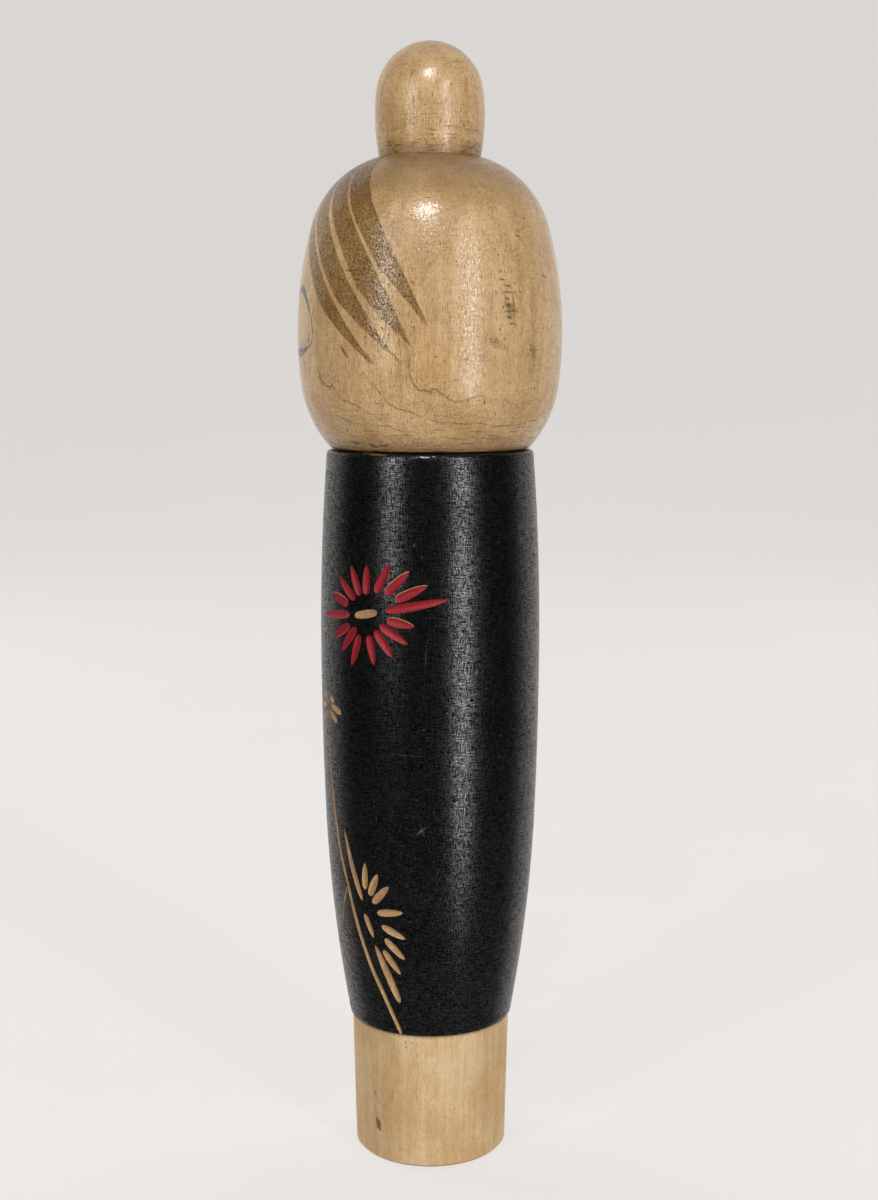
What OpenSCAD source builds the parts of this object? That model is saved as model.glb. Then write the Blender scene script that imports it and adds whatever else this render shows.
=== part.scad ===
// Kokeshi doll: a pegged wooden figure turned on a lathe. The foot, the black body,
// the head and the topknot stand on one vertical axis, and the head turns on its dowel.
// Origin: centre of the foot's underside. +Z is up and the face looks along -Y.

/* [Foot] */
// Height of the bare wood foot
foot_h = 38.4; // [30:0.2:48]
// Diameter at the rim that the doll stands on
foot_base_d = 42.2; // [34:0.2:52]
// Diameter under the body
foot_top_d = 44; // [34:0.2:52]
// Chamfer round the standing rim
foot_rim_chamfer = 0.8; // [0.2:0.1:2]
// Chamfer round the upper end, which draws the joint line under the body
foot_top_chamfer = 0.3; // [0.1:0.1:1]

/* [Body] */
// Height of the black body
body_h = 157.8; // [125:0.2:200]
// Diameter at the lower end, on the foot
body_base_d = 45.2; // [38:0.2:55]
// Diameter at the widest place
body_belly_d = 60; // [57:0.2:74]
// Height of the widest place above the body's lower end
body_belly_h = 106; // [80:0.5:124]
// Height above the lower end where the long flank turns into the tighter lower curve
body_flank_h = 60; // [40:0.5:78]
// How full the flank is: 1 is one plain arc, more is straighter above and rounder below
body_flank_fullness = 1.63; // [1:0.01:2.2]
// Diameter at the flat upper end, before its edge is rounded
body_top_d = 55.9; // [44:0.1:56]
// Rounding of the upper edge
body_top_edge = 1.2; // [0.4:0.1:3]
// Rounding of the lower edge
body_base_edge = 0.4; // [0.2:0.1:1]

/* [Head] */
// Height of the head, from its flat underside to the flat under the topknot
head_h = 76.5; // [62:0.1:95]
// Diameter at the cheeks
head_d = 71; // [62:0.2:88]
// Height of the cheeks above the underside
head_cheek_h = 30; // [24:0.2:42]
// Diameter of the underside, before its edge is rounded
head_base_d = 53.4; // [44:0.1:60]
// Rounding of the edge round the underside
head_base_edge = 1.5; // [0.5:0.1:3]
// Height above the underside where the cheek turns into the chin curve
head_jaw_h = 16.8; // [8:0.1:22]
// How full the jaw is
head_jaw_fullness = 1.79; // [1:0.01:2.2]
// Height above the underside where the temple turns into the crown curve
head_temple_h = 58.5; // [46:0.1:60]
// How full the temple is
head_temple_fullness = 1.79; // [1:0.01:2.2]
// Diameter of the flat on the crown that the topknot sits on
crown_flat_d = 27.3; // [18:0.1:34]
// Gap between the head and the body, so that the head turns without rubbing
neck_gap = 0.3; // [0.1:0.05:0.8]

/* [Topknot] */
// Height of the topknot
topknot_h = 30; // [27:0.2:38]
// Diameter at its base, on the crown
topknot_base_d = 26.9; // [20:0.1:28]
// Diameter at its widest place
topknot_d = 29.1; // [28.5:0.1:36]
// Height of its widest place above its base
topknot_wide_h = 11.4; // [8:0.1:14]
// Height above its base where the side turns into the dome
topknot_dome_h = 17.8; // [15:0.1:22]
// How full its side is
topknot_fullness = 2.32; // [1.2:0.01:2.8]
// Diameter of the little flat left on top where it was parted off and sanded
topknot_flat_d = 1.6; // [0.6:0.1:4]

/* [Dowels] */
// Diameter of the dowel that the head turns on
neck_dowel_d = 14; // [9:0.1:20]
// How far the neck dowel is glued into the head
neck_dowel_in_head = 18; // [12:0.5:24]
// How far the neck dowel reaches down into the body
neck_dowel_in_body = 20; // [12:0.5:30]
// Radial clearance of the neck dowel in the body
neck_clearance = 0.06; // [0.02:0.01:0.1]
// Diameter of the dowel between foot and body
foot_dowel_d = 12; // [8:0.1:16]
// How far the foot dowel reaches into the foot
foot_dowel_in_foot = 14; // [8:0.5:20]
// How far the foot dowel reaches into the body
foot_dowel_in_body = 16; // [8:0.5:24]
// Diameter of the dowel under the topknot
topknot_dowel_d = 7; // [5:0.1:10]
// How far the topknot dowel reaches into the head
topknot_dowel_in_head = 10; // [6:0.5:14]
// How far the topknot dowel reaches into the topknot
topknot_dowel_in_topknot = 9; // [6:0.5:14]
// Space left at the blind end of each bore, for glue and air
bore_end_space = 1; // [0.4:0.1:2]
// Chamfer on both ends of each dowel
dowel_chamfer = 0.6; // [0.2:0.1:1]

/* [Hidden] */
$fn = 180;
// Steps that each long curve and each rounded corner of an outline is cut into
curve_steps = 12;
edge_steps = 4;

// Heights of the joints on the doll's axis
body_z = foot_h;
body_top_z = body_z + body_h;
head_z = body_top_z + neck_gap;
crown_z = head_z + head_h;

// Colours
bare_wood = "#c9a577";
black_stain = "#1b1a1a";
varnished_wood = "#c79a5f";
dowel_wood = "#d8bd91";

function square_of(v) = v * v;

// Radius of the arc that leaves a with its outward normal n and passes through b
function radius_through(a, n, b) = -((b - a) * (b - a)) / (2 * ((b - a) * n));

// Radius of the one arc that is upright at the widest place and passes through the end
function plain_radius(wide, end) =
    (square_of(end.y - wide.y) + square_of(wide.x - end.x)) / (2 * (wide.x - end.x));

// Points along an arc, without its first point
function arc(centre, radius, from, to, steps) =
    [for (i = [1:steps])
        let (angle = from + (to - from) * i / steps)
        centre + radius * [cos(angle), sin(angle)]];

// Angle of a point seen from a centre
function angle_from(centre, point) = atan2(point.y - centre.y, point.x - centre.x);

// Half profile from the widest place to an end: two arcs that flow into each other, and
// the rounded corner at the end
function swell(wide, join_z, fullness, end, edge = 0) =
    let (
        way = end.y > wide.y ? 1 : -1,
        side_radius = fullness * plain_radius(wide, end),
        side_centre = [wide.x - side_radius, wide.y],
        turn = way * asin(abs(join_z - wide.y) / side_radius),
        normal = [cos(turn), sin(turn)],
        join = side_centre + side_radius * normal,
        end_radius = radius_through(join, normal, end),
        end_centre = join - end_radius * normal,
        edge_z = end.y - way * edge,
        edge_x = end_centre.x
            + sqrt(square_of(end_radius - edge) - square_of(edge_z - end_centre.y)),
        edge_centre = [edge_x, edge_z],
        stop = angle_from(end_centre, edge > 0 ? edge_centre : end)
    )
    concat(
        arc(side_centre, side_radius, 0, turn, curve_steps),
        arc(end_centre, end_radius, turn, stop, curve_steps),
        edge > 0 ? arc(edge_centre, edge, stop, way * 90, edge_steps) : []
    );

// Same points, from last to first
function reversed(points) = [for (i = [len(points) - 1:-1:0]) points[i]];

// Solid turned from a lower and an upper swell that leave the same widest place
module turned(wide, lower, upper) {
    outline = concat(reversed(lower), [wide], upper);
    rotate_extrude()
        polygon(concat([[0, outline[0].y]], outline, [[0, outline[len(outline) - 1].y]]));
}

// Blind bore on the axis: from the mouth's height, so deep, down or up
module bore(mouth_z, depth, diameter, up) {
    z = up ? mouth_z - bore_end_space : mouth_z - depth;
    translate([0, 0, z]) cylinder(h = depth + bore_end_space, d = diameter);
}

// Dowel on the axis with both ends chamfered
module dowel(z_a, z_b, diameter) {
    r = diameter / 2;
    c = dowel_chamfer;
    rotate_extrude()
        polygon([[0, z_a], [r - c, z_a], [r, z_a + c], [r, z_b - c], [r - c, z_b], [0, z_b]]);
}

// Bare wood foot: a short, slightly tapered cylinder
module foot() {
    r_base = foot_base_d / 2;
    r_top = foot_top_d / 2;
    rim = foot_rim_chamfer;
    line = foot_top_chamfer;
    color(bare_wood) difference() {
        rotate_extrude()
            polygon([[0, 0], [r_base - rim, 0], [r_base, rim], [r_top, foot_h - line],
                     [r_top - line, foot_h], [0, foot_h]]);
        bore(foot_h, foot_dowel_in_foot + bore_end_space, foot_dowel_d, false);
    }
}

// Dowel glued into foot and body
module foot_dowel() {
    color(dowel_wood)
        dowel(body_z - foot_dowel_in_foot, body_z + foot_dowel_in_body, foot_dowel_d);
}

// Black barrel body
module body() {
    wide = [body_belly_d / 2, body_z + body_belly_h];
    base = [body_base_d / 2, body_z];
    top = [body_top_d / 2, body_top_z];
    color(black_stain) difference() {
        turned(wide,
               swell(wide, body_z + body_flank_h, body_flank_fullness, base, body_base_edge),
               swell(wide, (wide.y + top.y) / 2, 1, top, body_top_edge));
        bore(body_z, foot_dowel_in_body + bore_end_space, foot_dowel_d, true);
        bore(body_top_z, neck_dowel_in_body + bore_end_space,
             neck_dowel_d + 2 * neck_clearance, false);
    }
}

// Dowel glued into the head. It turns in the body's bore
module neck_dowel() {
    color(dowel_wood)
        dowel(body_top_z - neck_dowel_in_body, head_z + neck_dowel_in_head, neck_dowel_d);
}

// Round head
module head() {
    wide = [head_d / 2, head_z + head_cheek_h];
    base = [head_base_d / 2, head_z];
    crown = [crown_flat_d / 2, crown_z];
    color(varnished_wood) difference() {
        turned(wide,
               swell(wide, head_z + head_jaw_h, head_jaw_fullness, base, head_base_edge),
               swell(wide, head_z + head_temple_h, head_temple_fullness, crown));
        bore(head_z, neck_dowel_in_head + bore_end_space, neck_dowel_d, true);
        bore(crown_z, topknot_dowel_in_head + bore_end_space, topknot_dowel_d, false);
    }
}

// Dowel glued into head and topknot
module topknot_dowel() {
    color(dowel_wood)
        dowel(crown_z - topknot_dowel_in_head, crown_z + topknot_dowel_in_topknot,
              topknot_dowel_d);
}

// Domed topknot
module topknot() {
    wide = [topknot_d / 2, crown_z + topknot_wide_h];
    base = [topknot_base_d / 2, crown_z];
    top = [topknot_flat_d / 2, crown_z + topknot_h];
    color(varnished_wood) difference() {
        turned(wide,
               swell(wide, (wide.y + base.y) / 2, 1, base),
               swell(wide, crown_z + topknot_dome_h, topknot_fullness, top));
        bore(crown_z, topknot_dowel_in_topknot + bore_end_space, topknot_dowel_d, true);
    }
}

foot();
foot_dowel();
body();
neck_dowel();
head();
topknot_dowel();
topknot();
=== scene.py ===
"""Kokeshi doll: a pegged wooden doll turned on a lathe. The foot, the body, the head and the
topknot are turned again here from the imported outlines, the body is carved with gouges, and
the wood, stain, paint and varnish are drawn by their materials."""

import math

import bpy
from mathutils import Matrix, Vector


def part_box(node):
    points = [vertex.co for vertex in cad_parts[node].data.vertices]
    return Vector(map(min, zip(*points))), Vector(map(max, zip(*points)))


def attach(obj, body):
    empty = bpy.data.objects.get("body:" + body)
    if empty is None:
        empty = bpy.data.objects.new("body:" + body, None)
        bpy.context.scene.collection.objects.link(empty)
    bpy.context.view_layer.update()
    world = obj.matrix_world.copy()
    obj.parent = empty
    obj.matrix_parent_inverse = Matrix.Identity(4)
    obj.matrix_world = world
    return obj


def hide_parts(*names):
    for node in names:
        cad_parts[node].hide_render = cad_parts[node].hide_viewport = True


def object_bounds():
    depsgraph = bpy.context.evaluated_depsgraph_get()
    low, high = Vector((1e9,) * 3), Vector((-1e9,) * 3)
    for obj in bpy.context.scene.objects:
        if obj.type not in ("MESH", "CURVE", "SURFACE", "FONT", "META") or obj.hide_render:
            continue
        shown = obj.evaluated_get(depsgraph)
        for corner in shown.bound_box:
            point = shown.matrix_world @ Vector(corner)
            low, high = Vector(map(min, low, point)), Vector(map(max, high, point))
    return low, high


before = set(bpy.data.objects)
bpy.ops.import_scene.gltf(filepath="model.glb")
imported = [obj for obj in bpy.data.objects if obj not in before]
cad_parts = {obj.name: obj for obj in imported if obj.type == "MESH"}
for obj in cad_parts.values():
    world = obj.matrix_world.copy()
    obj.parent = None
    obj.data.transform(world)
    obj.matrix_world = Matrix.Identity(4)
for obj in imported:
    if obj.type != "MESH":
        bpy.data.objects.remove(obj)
cad_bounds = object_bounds()
MM = 0.001
LOW, HIGH = cad_bounds


# ---------------------------------------------------------------- studio

# The camera stands a little behind the doll's left side and looks slightly down.
CAMERA_TURN = math.radians(100)
CAMERA_DISTANCE = 460 * MM
CAMERA_HEIGHT = 218.6 * MM
CAMERA_TILT = math.radians(7.9)
CAMERA_SIDESTEP = 2.4 * MM
CAMERA_LENS = 50.7
SENSOR_HEIGHT = 36

# Lights as (name, turn from the camera in degrees, height, distance, width, length, watts, use),
# with their sizes in metres. A "glint" light only shines back from the gloss, a "fill" light
# only brightens the colour, and any other light does both.
LIGHTS = [
    ("tall_softbox_right", 35, 0.26, 1.1, 0.08, 1.3, 8.2, "both"),
    ("tall_softbox_left", -40, 0.47, 1.1, 0.13, 0.8, 4.2, "both"),
    ("small_lamp_above", -3, 1.04, 0.85, 0.03, 0.03, 8.0, "glint"),
    ("front_fill", -12, 0.60, 1.2, 0.6, 0.6, 3.5, "fill"),
    ("face_fill", -125, 0.50, 1.2, 0.6, 0.9, 5.0, "fill"),
    ("back_fill", 130, 0.50, 1.2, 0.6, 0.9, 2.8, "fill"),
    ("ceiling_softbox", 150, 2.6, 0.4, 2.4, 2.4, 4.0, "both"),
]


def outward(turn):
    """The level direction that points away from the doll's axis, turned so many radians from
    its face."""
    return Vector((math.sin(turn), -math.cos(turn), 0))


def add_camera():
    """The camera, level with the doll's cheeks."""
    back = outward(CAMERA_TURN)
    aside = outward(CAMERA_TURN + math.pi / 2) * CAMERA_SIDESTEP
    place = back * CAMERA_DISTANCE + aside + Vector((0, 0, CAMERA_HEIGHT))
    bpy.ops.object.camera_add(
        location=place, rotation=(math.pi / 2 - CAMERA_TILT, 0, CAMERA_TURN))
    camera = bpy.context.object
    camera.name = "camera"
    camera.data.sensor_fit = "VERTICAL"
    camera.data.sensor_height = SENSOR_HEIGHT
    camera.data.lens = CAMERA_LENS
    camera.data.clip_start = 10 * MM
    bpy.context.scene.camera = camera


def add_light(name, turn, height, distance, width, length, watts, use):
    """One light panel, aimed at the doll's middle."""
    place = outward(CAMERA_TURN + math.radians(turn)) * distance + Vector((0, 0, height))
    aim = Vector((0, 0, (LOW.z + HIGH.z) / 2)) - place
    bpy.ops.object.light_add(
        type="AREA", location=place, rotation=aim.to_track_quat("-Z", "Y").to_euler())
    light = bpy.context.object
    light.name = name
    light.data.shape = "RECTANGLE"
    light.data.size = width
    light.data.size_y = length
    light.data.energy = watts
    light.visible_camera = False
    light.visible_glossy = use != "fill"
    light.visible_diffuse = use != "glint"


add_camera()
for row in LIGHTS:
    add_light(*row)


# ---------------------------------------------------------------- what the materials share

# The kinds of node used most, and what many of them set: a range with soft ends, and a mix of
# two colours, which come in at sockets 6 and 7 and leave at socket 2.
MATH = "ShaderNodeMath"
VECTOR = "ShaderNodeVectorMath"
RANGE = "ShaderNodeMapRange"
MIX = "ShaderNodeMix"
SOFT = {"interpolation_type": "SMOOTHSTEP"}
COLOURS = {"data_type": "RGBA", "out": 2}

BARE_WOOD_IOR = 1.45
VARNISH_IOR = 1.5


def linear(hex_code):
    """A colour given as sRGB hex, as the linear RGBA that Blender's sockets take."""
    parts = [int(hex_code[i:i + 2], 16) / 255 for i in (1, 3, 5)]
    return [p / 12.92 if p <= 0.04045 else ((p + 0.055) / 1.055) ** 2.4 for p in parts] + [1]


def add(tree, kind, inputs=(), out=0, **settings):
    """Adds a node with its settings, gives each of its inputs a value or a link, and returns
    one of its outputs."""
    node = tree.nodes.new(kind)
    for name, value in settings.items():
        setattr(node, name, value)
    for key, value in dict(inputs).items():
        if isinstance(value, bpy.types.NodeSocket):
            tree.links.new(value, node.inputs[key])
        else:
            node.inputs[key].default_value = value
    return node.outputs[out] if len(node.outputs) else node


def new_material(name):
    """A new material: itself, its tree, its Principled shader and its place in millimetres."""
    material = bpy.data.materials.new(name)
    material.use_nodes = True
    tree = material.node_tree
    place = add(tree, "ShaderNodeTexCoord", out="Object")
    place_mm = add(tree, VECTOR, {0: place, "Scale": 1 / MM}, operation="SCALE")
    return material, tree, tree.nodes["Principled BSDF"], place_mm


def mottle(tree, place_mm, cell_mm, detail=2.0, offset=0.0):
    """A random pattern from 0 to 1, in grains of about cell_mm = (x, y, z). Each pattern of a
    material has an offset of its own, so that no two of them lie in step."""
    scaled = add(tree, VECTOR,
                 {0: place_mm, 1: [1 / size for size in cell_mm], 2: (offset, offset, offset)},
                 operation="MULTIPLY_ADD")
    return add(tree, "ShaderNodeTexNoise",
               {"Vector": scaled, "Scale": 1.0, "Detail": detail, "Roughness": 0.6})


def finish(tree, shader, colour, roughness, relief, depth_mm):
    """Gives the shader its colour, its roughness and its relief, which is depth_mm deep."""
    bump = add(tree, "ShaderNodeBump", {"Height": relief, "Distance": depth_mm * MM})
    tree.links.new(colour, shader.inputs["Base Color"])
    tree.links.new(roughness, shader.inputs["Roughness"])
    tree.links.new(bump, shader.inputs["Normal"])


# ---------------------------------------------------------------- floor and room

# The sweep of background paper, in metres
SWEEP_FLAT_RADIUS = 1.3
SWEEP_BEND_RADIUS = 0.8
SWEEP_TOP = 2.6
SWEEP_SIDES = 96
BEND_STEPS = 10


def background_paper():
    """Matt pale grey background paper: even, with a barely seen mottle. A glow of its own keeps
    it as pale behind the doll as in front."""
    material, tree, shader, place = new_material("matt_background_paper")
    cloudy = mottle(tree, place, (90, 90, 90))
    colour = add(tree, MIX, {0: cloudy, 6: linear("#878583"), 7: linear("#8d8b89")}, **COLOURS)
    tree.links.new(colour, shader.inputs["Base Color"])
    shader.inputs["Roughness"].default_value = 0.9
    shader.inputs["Specular IOR Level"].default_value = 0.2
    shader.inputs["Emission Color"].default_value = linear("#fdfaf7")
    shader.inputs["Emission Strength"].default_value = 0.64
    return material


def add_floor():
    """A round sweep of paper: flat under the doll, curving up far away on every side."""
    bpy.ops.mesh.primitive_circle_add(
        vertices=SWEEP_SIDES, radius=SWEEP_FLAT_RADIUS, fill_type="NGON")
    floor = bpy.context.object
    floor.name = "floor_sweep"
    bpy.ops.object.mode_set(mode="EDIT")
    bpy.ops.mesh.select_mode(type="EDGE")
    bpy.ops.mesh.select_all(action="SELECT")
    bpy.ops.mesh.region_to_loop()
    radius, height = SWEEP_FLAT_RADIUS, 0.0
    for i in range(1, BEND_STEPS + 1):
        turn = math.pi / 2 * i / BEND_STEPS
        next_radius = SWEEP_FLAT_RADIUS + SWEEP_BEND_RADIUS * math.sin(turn)
        next_height = SWEEP_BEND_RADIUS * (1 - math.cos(turn))
        bpy.ops.mesh.extrude_edges_move(
            TRANSFORM_OT_translate={"value": (0, 0, next_height - height)})
        bpy.ops.transform.resize(value=(next_radius / radius, next_radius / radius, 1))
        radius, height = next_radius, next_height
    bpy.ops.mesh.extrude_edges_move(
        TRANSFORM_OT_translate={"value": (0, 0, SWEEP_TOP - height)})
    bpy.ops.object.mode_set(mode="OBJECT")
    bpy.ops.object.shade_smooth()
    floor.data.materials.append(background_paper())
    floor.visible_diffuse = False
    floor.visible_glossy = False
    floor.visible_shadow = False


def set_room():
    """The room's light: bright from behind the doll, pale from below and dim elsewhere."""
    scene = bpy.context.scene
    scene.world = bpy.data.worlds.new("room")
    scene.world.use_nodes = True
    tree = scene.world.node_tree
    way = add(tree, "ShaderNodeTexCoord", out="Generated")
    behind = add(tree, VECTOR, {0: way, 1: -outward(CAMERA_TURN)}, "Value",
                 operation="DOT_PRODUCT")
    below = add(tree, VECTOR, {0: way, 1: (0, 0, -1)}, "Value", operation="DOT_PRODUCT")
    wall = add(tree, RANGE, {0: behind, 1: 0.15, 2: 0.55, 3: 0.05, 4: 0.85}, **SOFT)
    bounce = add(tree, RANGE, {0: below, 1: 0.05, 2: 0.7, 4: 0.3}, **SOFT)
    light = add(tree, MATH, {0: wall, 1: bounce}, operation="MAXIMUM")
    background = tree.nodes["Background"]
    background.inputs["Color"].default_value = linear("#fdf9f5")
    tree.links.new(light, background.inputs["Strength"])
    scene.view_settings.view_transform = "Standard"


add_floor()
set_room()


# ---------------------------------------------------------------- outlines of the turned pieces

def dowel_bore(node, dowel):
    """The bore that a dowel sits in: its radius and its two heights, from the CAD solids."""
    low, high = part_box(dowel)
    past_end = 1.6 * MM
    past_side = 0.2 * MM
    rings = {}
    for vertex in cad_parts[node].data.vertices:
        radius = math.hypot(vertex.co.x, vertex.co.y)
        beside = low.z - past_end < vertex.co.z < high.z + past_end
        if beside and abs(radius - high.x) < past_side:
            rings[round(vertex.co.z, 6)] = radius
    return max(rings.values()), min(rings), max(rings)


def outer_rings(node, bore_ends):
    """The outline of a turned CAD node: (height, radius) of its rings, upwards."""
    widest = {}
    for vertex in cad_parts[node].data.vertices:
        height = round(vertex.co.z, 6)
        radius = math.hypot(vertex.co.x, vertex.co.y)
        widest[height] = max(widest.get(height, 0), radius)
    for height in bore_ends:
        widest.pop(height, None)
    return sorted(widest.items())


class Outline:
    """A smooth turned outline through rings: its radius and slope at any height."""

    def __init__(self, rings):
        self.z = [z for z, _ in rings]
        self.r = [r for _, r in rings]
        steps = [(r1 - r0) / (z1 - z0)
                 for z0, z1, r0, r1 in zip(self.z, self.z[1:], self.r, self.r[1:])]
        self.slopes = [steps[0]]
        for i in range(1, len(steps)):
            before = self.z[i] - self.z[i - 1]
            after = self.z[i + 1] - self.z[i]
            self.slopes.append((steps[i - 1] * after + steps[i] * before) / (before + after))
        self.slopes.append(steps[-1])

    def at(self, height):
        """(radius, slope) at that height, on a cubic between the two nearest rings."""
        height = min(max(height, self.z[0]), self.z[-1])
        i = max(0, min(len(self.z) - 2, sum(z <= height for z in self.z) - 1))
        gap = self.z[i + 1] - self.z[i]
        t = (height - self.z[i]) / gap
        m0, m1 = self.slopes[i] * gap, self.slopes[i + 1] * gap
        radius = ((2 * t**3 - 3 * t**2 + 1) * self.r[i] + (t**3 - 2 * t**2 + t) * m0
                  + (3 * t**2 - 2 * t**3) * self.r[i + 1] + (t**3 - t**2) * m1)
        slope = ((6 * t**2 - 6 * t) * (self.r[i] - self.r[i + 1])
                 + (3 * t**2 - 4 * t + 1) * m0 + (3 * t**2 - 2 * t) * m1) / gap
        return radius, slope

    def point(self, azimuth, height, out=0.0):
        """A point so far out from the surface, at an azimuth in degrees from the face."""
        radius, slope = self.at(height)
        tilt = math.sqrt(1 + slope * slope)
        side = outward(math.radians(azimuth))
        return side * (radius + out / tilt) + Vector((0, 0, height - out * slope / tilt))

    def normal(self, place):
        """The outward normal of the surface next to a place."""
        _, slope = self.at(place.z)
        side = Vector((place.x, place.y, 0)).normalized()
        return (side - Vector((0, 0, slope))).normalized()

    def fine(self, step):
        """The outline with points no further apart than step."""
        points = []
        for z0, z1 in zip(self.z, self.z[1:]):
            count = max(1, math.ceil((z1 - z0) / step))
            points += [z0 + (z1 - z0) * i / count for i in range(count)]
        return [(self.at(z)[0], z) for z in points] + [(self.r[-1], self.z[-1])]


# ---------------------------------------------------------------- turning and carving

def turn_piece(name, section, around):
    """A solid of revolution: the section is drawn by extruding one point, then spun."""
    x, z = section[0]
    bpy.ops.object.select_all(action="DESELECT")
    bpy.ops.mesh.primitive_plane_add(size=MM, location=(x, 0, z))
    piece = bpy.context.object
    piece.name = name
    bpy.ops.object.mode_set(mode="EDIT")
    bpy.ops.mesh.select_mode(type="VERT")
    bpy.ops.mesh.select_all(action="SELECT")
    bpy.ops.mesh.merge(type="CENTER")
    for (x0, z0), (x1, z1) in zip(section, section[1:]):
        bpy.ops.mesh.extrude_vertices_move(
            TRANSFORM_OT_translate={"value": (x1 - x0, 0, z1 - z0)})
    bpy.ops.mesh.select_all(action="SELECT")
    bpy.ops.mesh.spin(steps=around, angle=2 * math.pi, center=(0, 0, 0), axis=(0, 0, 1))
    bpy.ops.mesh.select_all(action="SELECT")
    bpy.ops.mesh.remove_doubles(threshold=0.002 * MM)
    bpy.ops.mesh.normals_make_consistent(inside=False)
    bpy.ops.object.mode_set(mode="OBJECT")
    bpy.ops.object.transform_apply(location=True)
    bpy.ops.object.shade_smooth_by_angle(angle=math.radians(40))
    return piece


def turned(node, step, around, foot_bore=None, top_bore=None):
    """Turns a CAD node again with a smoother outline, its blind bores included. step is how
    far apart its rings may be, and around how many sides it has."""
    lower = dowel_bore(node, foot_bore) if foot_bore else None
    upper = dowel_bore(node, top_bore) if top_bore else None
    ends = ([lower[2]] if lower else []) + ([upper[1]] if upper else [])
    outline = Outline(outer_rings(node, ends))
    shell = outline.fine(step)
    section = [(0, lower[2]), (lower[0], lower[2]), (lower[0], lower[1])] if lower \
        else [(0, outline.z[0])]
    section += shell
    section += [(upper[0], upper[2]), (upper[0], upper[1]), (0, upper[1])] if upper \
        else [(0, outline.z[-1])]
    return turn_piece("turned_" + node, section, around), outline


def smooth_path(points, steps):
    """A curve through given points, as steps + 1 points, with its ends run on."""
    ends = [[2 * a - b for a, b in zip(points[0], points[1])],
            [2 * a - b for a, b in zip(points[-1], points[-2])]]
    held = [ends[0]] + [list(p) for p in points] + [ends[1]]
    path = []
    for k in range(steps + 1):
        place = k / steps * (len(points) - 1)
        i = min(int(place), len(points) - 2)
        t = place - i
        p0, p1, p2, p3 = held[i:i + 4]
        path.append([0.5 * (2 * b + (c - a) * t + (2 * a - 5 * b + 4 * c - d) * t * t
                            + (3 * b - a - 3 * c + d) * t**3)
                     for a, b, c, d in zip(p0, p1, p2, p3)])
    return path


def gouge(outline, route, width, depth, start, stop, roundness=1.5):
    """A cutter for one gouge cut along a route of (turn in degrees, height in mm).

    The cut's floor dips below the surface and comes out of it again at both ends. start and
    stop say how blunt (0.5) or pointed (1) its ends are, and roundness whether the blade is
    a V (1) or a U (2). The cutter runs on a little past both ends, clear of the surface."""
    run_on = 0.35
    clear = 0.12
    across = 8
    along = 14 if len(route) == 2 else 10 * (len(route) - 1)
    path = smooth_path(route, along)
    peak = start / (start + stop)
    fullest = peak**start * (1 - peak)**stop
    steep = depth / (width / 2)**roundness
    reach = width * 0.75
    bpy.ops.mesh.primitive_grid_add(
        x_subdivisions=along + 2, y_subdivisions=across, size=MM)
    cutter = bpy.context.object
    columns = across + 1
    rows = along + 3
    order = sorted(range(len(cutter.data.vertices)),
                   key=lambda i: tuple(round(c, 7) for c in cutter.data.vertices[i].co[:2]))
    for rank, index in enumerate(order):
        row, column = divmod(rank, columns)
        k = min(max(row - 1, 0), along)
        t = k / along
        dip = depth * t**start * (1 - t)**stop / fullest if 0 < t < 1 else 0.0
        azimuth, height = path[k]
        before, after = path[max(k - 1, 0)], path[min(k + 1, along)]
        radius = outline.at(height * MM)[0] / MM
        run = Vector((math.radians(after[0] - before[0]) * radius, after[1] - before[1]))
        run.normalize()
        side = reach * (2 * column / across - 1)
        past = -run_on if row == 0 else run_on if row == rows - 1 else 0.0
        rise = clear if past else 0.0
        azimuth += math.degrees((run.x * past - run.y * side) / radius)
        height += run.y * past + run.x * side
        out = -dip + steep * abs(side)**roundness + rise
        cutter.data.vertices[index].co = outline.point(azimuth, height * MM, out * MM)
    lift = outward(math.radians(path[along // 2][0])) * (4 * MM)
    bpy.ops.object.mode_set(mode="EDIT")
    bpy.ops.mesh.select_all(action="SELECT")
    bpy.ops.mesh.extrude_region_move(TRANSFORM_OT_translate={"value": lift})
    bpy.ops.mesh.select_all(action="SELECT")
    bpy.ops.mesh.normals_make_consistent(inside=False)
    bpy.ops.object.mode_set(mode="OBJECT")
    return cutter


def petal(outline, centre, clock, inner, outer, width, depth):
    """A gouge cut that points away from a flower's centre, blunt inside and pointed outside."""
    azimuth, height = centre
    radius = outline.at(height * MM)[0] / MM
    way = math.radians(clock)
    ends = [(azimuth + math.degrees(reach * math.cos(way) / radius),
             height + reach * math.sin(way)) for reach in (inner, outer)]
    return gouge(outline, ends, width, depth, start=0.5, stop=0.9)


def carve(piece, cutters, material):
    """Cuts all the cutters out of the piece, and gives the cut faces their material."""
    for cutter in cutters:
        cutter.data.materials.append(material)
    bpy.ops.object.select_all(action="DESELECT")
    for cutter in cutters:
        cutter.select_set(True)
    bpy.context.view_layer.objects.active = cutters[0]
    bpy.ops.object.join()
    tool = bpy.context.object
    bpy.ops.object.select_all(action="DESELECT")
    bpy.context.view_layer.objects.active = piece
    piece.select_set(True)
    cut = piece.modifiers.new("carving", "BOOLEAN")
    cut.operation = "DIFFERENCE"
    cut.object = tool
    cut.solver = "MANIFOLD"
    cut.material_mode = "TRANSFER"
    bpy.ops.object.modifier_apply(modifier=cut.name)
    bpy.data.objects.remove(tool)


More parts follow.
